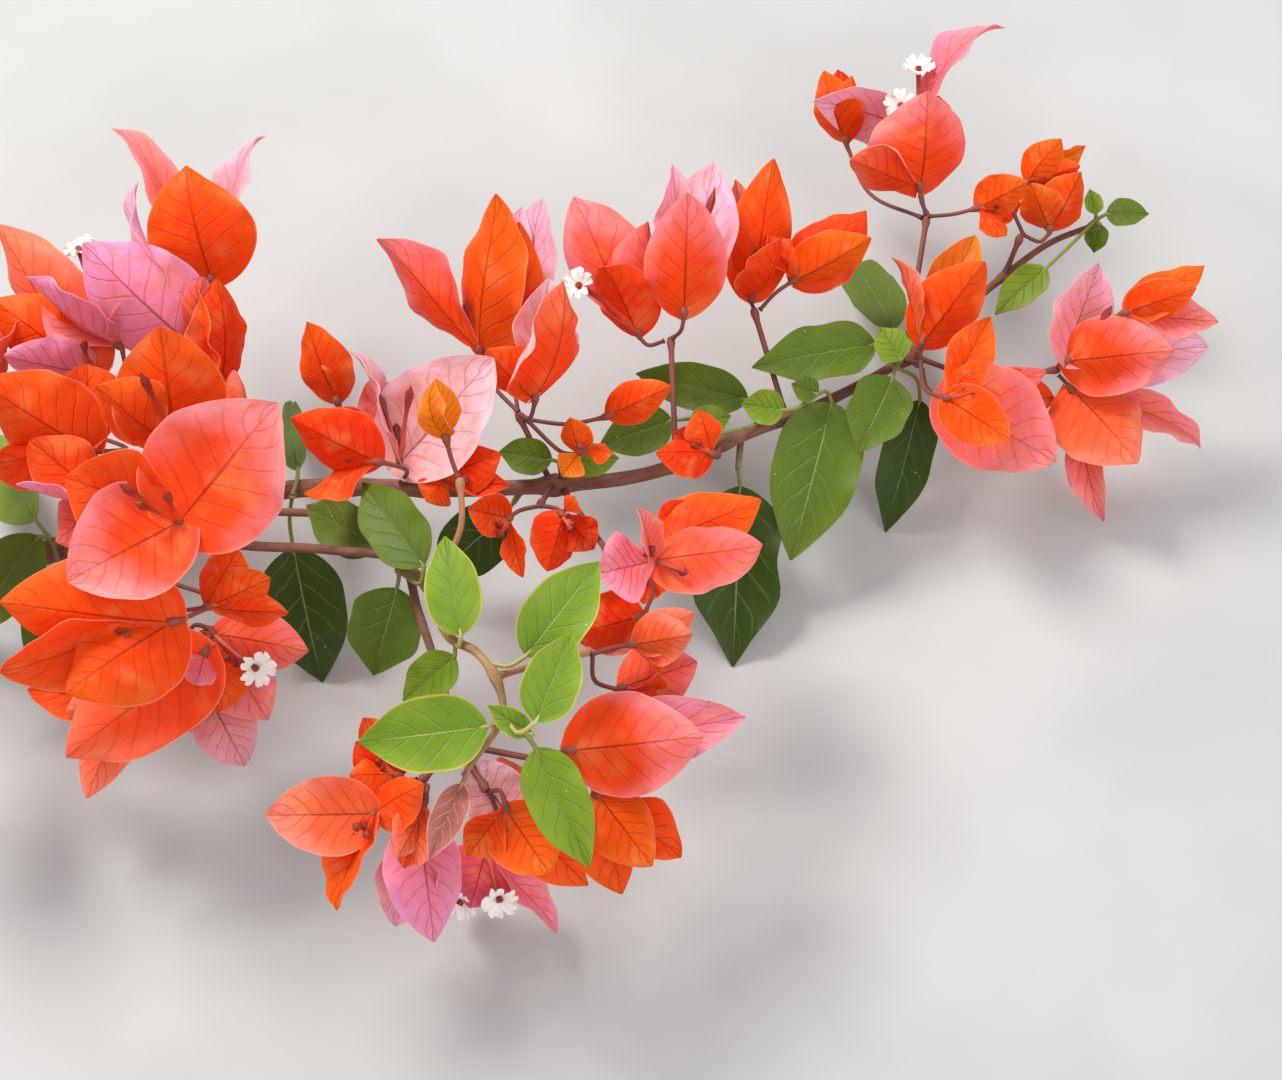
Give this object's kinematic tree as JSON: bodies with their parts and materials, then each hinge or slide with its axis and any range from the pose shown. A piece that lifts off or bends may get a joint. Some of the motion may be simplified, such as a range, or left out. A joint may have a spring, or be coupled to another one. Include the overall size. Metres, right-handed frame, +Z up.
{
  "type": "bougainvillea branch",
  "caption": "Cut flowering branch of bougainvillea that lies on the ground, with papery orange and pink blooms, green leaves and a pale young shoot.",
  "frame": {"origin": "the middle of the footprint of the branch as it lies, on the ground", "axes": "+X along the branch from its cut end to its tip, +Z up, and a viewer who stands at -Y and looks down sees the side that its blooms face"},
  "size_m": [0.4252, 0.2902, 0.1111],
  "materials": {
    "bark": "matt, lightly furrowed",
    "young_green": "soft leaf sheen",
    "orange_bracts": "thin and papery, veined",
    "pink_bracts": "thin and papery, veined",
    "leaf_green": "soft leaf sheen"
  },
  "bodies": {
    "root": {"main_stem": "bark", "upper_branch": "bark", "lower_branch": "bark", "young_shoot": "young_green", "bloom_tip": "orange_bracts", "bloom_tip_pink": "pink_bracts", "bloom_tip_left": "orange_bracts", "bloom_tip_buds": "orange_bracts", "bloom_elbow": "orange_bracts", "bloom_elbow_low": "orange_bracts", "bloom_end": "pink_bracts", "bloom_end_low": "orange_bracts", "bloom_back": "orange_bracts", "bloom_back_right": "orange_bracts", "bloom_middle": "pink_bracts", "bloom_middle_left": "pink_bracts", "bloom_crown": "orange_bracts", "bloom_crown_front": "orange_bracts", "bloom_crown_small": "orange_bracts", "bloom_inner": "pink_bracts", "bloom_inner_left": "orange_bracts", "bloom_inner_right": "orange_bracts", "bloom_outer": "orange_bracts", "bloom_young": "orange_bracts", "bloom_low": "orange_bracts", "bloom_red_bud": "orange_bracts", "bloom_side": "orange_bracts", "bloom_shoot": "orange_bracts", "bloom_right": "orange_bracts", "bloom_right_low": "orange_bracts", "bloom_lower_left": "orange_bracts", "bloom_lower_pink": "pink_bracts", "bloom_lower": "orange_bracts", "bloom_lower_back": "pink_bracts", "bloom_horned": "orange_bracts", "bloom_top_pink": "pink_bracts", "bloom_top_right": "orange_bracts", "bloom_mass_centre": "orange_bracts", "bloom_mass_left": "pink_bracts", "bloom_mass_edge": "orange_bracts", "bloom_front": "orange_bracts", "bloom_front_left": "orange_bracts", "bloom_orange_left": "orange_bracts", "bloom_front_right": "orange_bracts", "bloom_salmon": "orange_bracts", "bloom_low_right": "orange_bracts", "bloom_cut_end_top": "orange_bracts", "bloom_cut_end_left": "orange_bracts", "leaves_tip": "leaf_green", "leaves_elbow": "leaf_green", "leaves_back": "leaf_green", "leaves_middle": "leaf_green", "leaf_hanging": "leaf_green", "leaves_crown": "leaf_green", "leaf_behind": "leaf_green", "leaves_outer": "leaf_green", "leaves_lower": "leaf_green", "leaves_mass": "leaf_green", "leaves_cut_end": "leaf_green"}
  },
  "joints": []
}
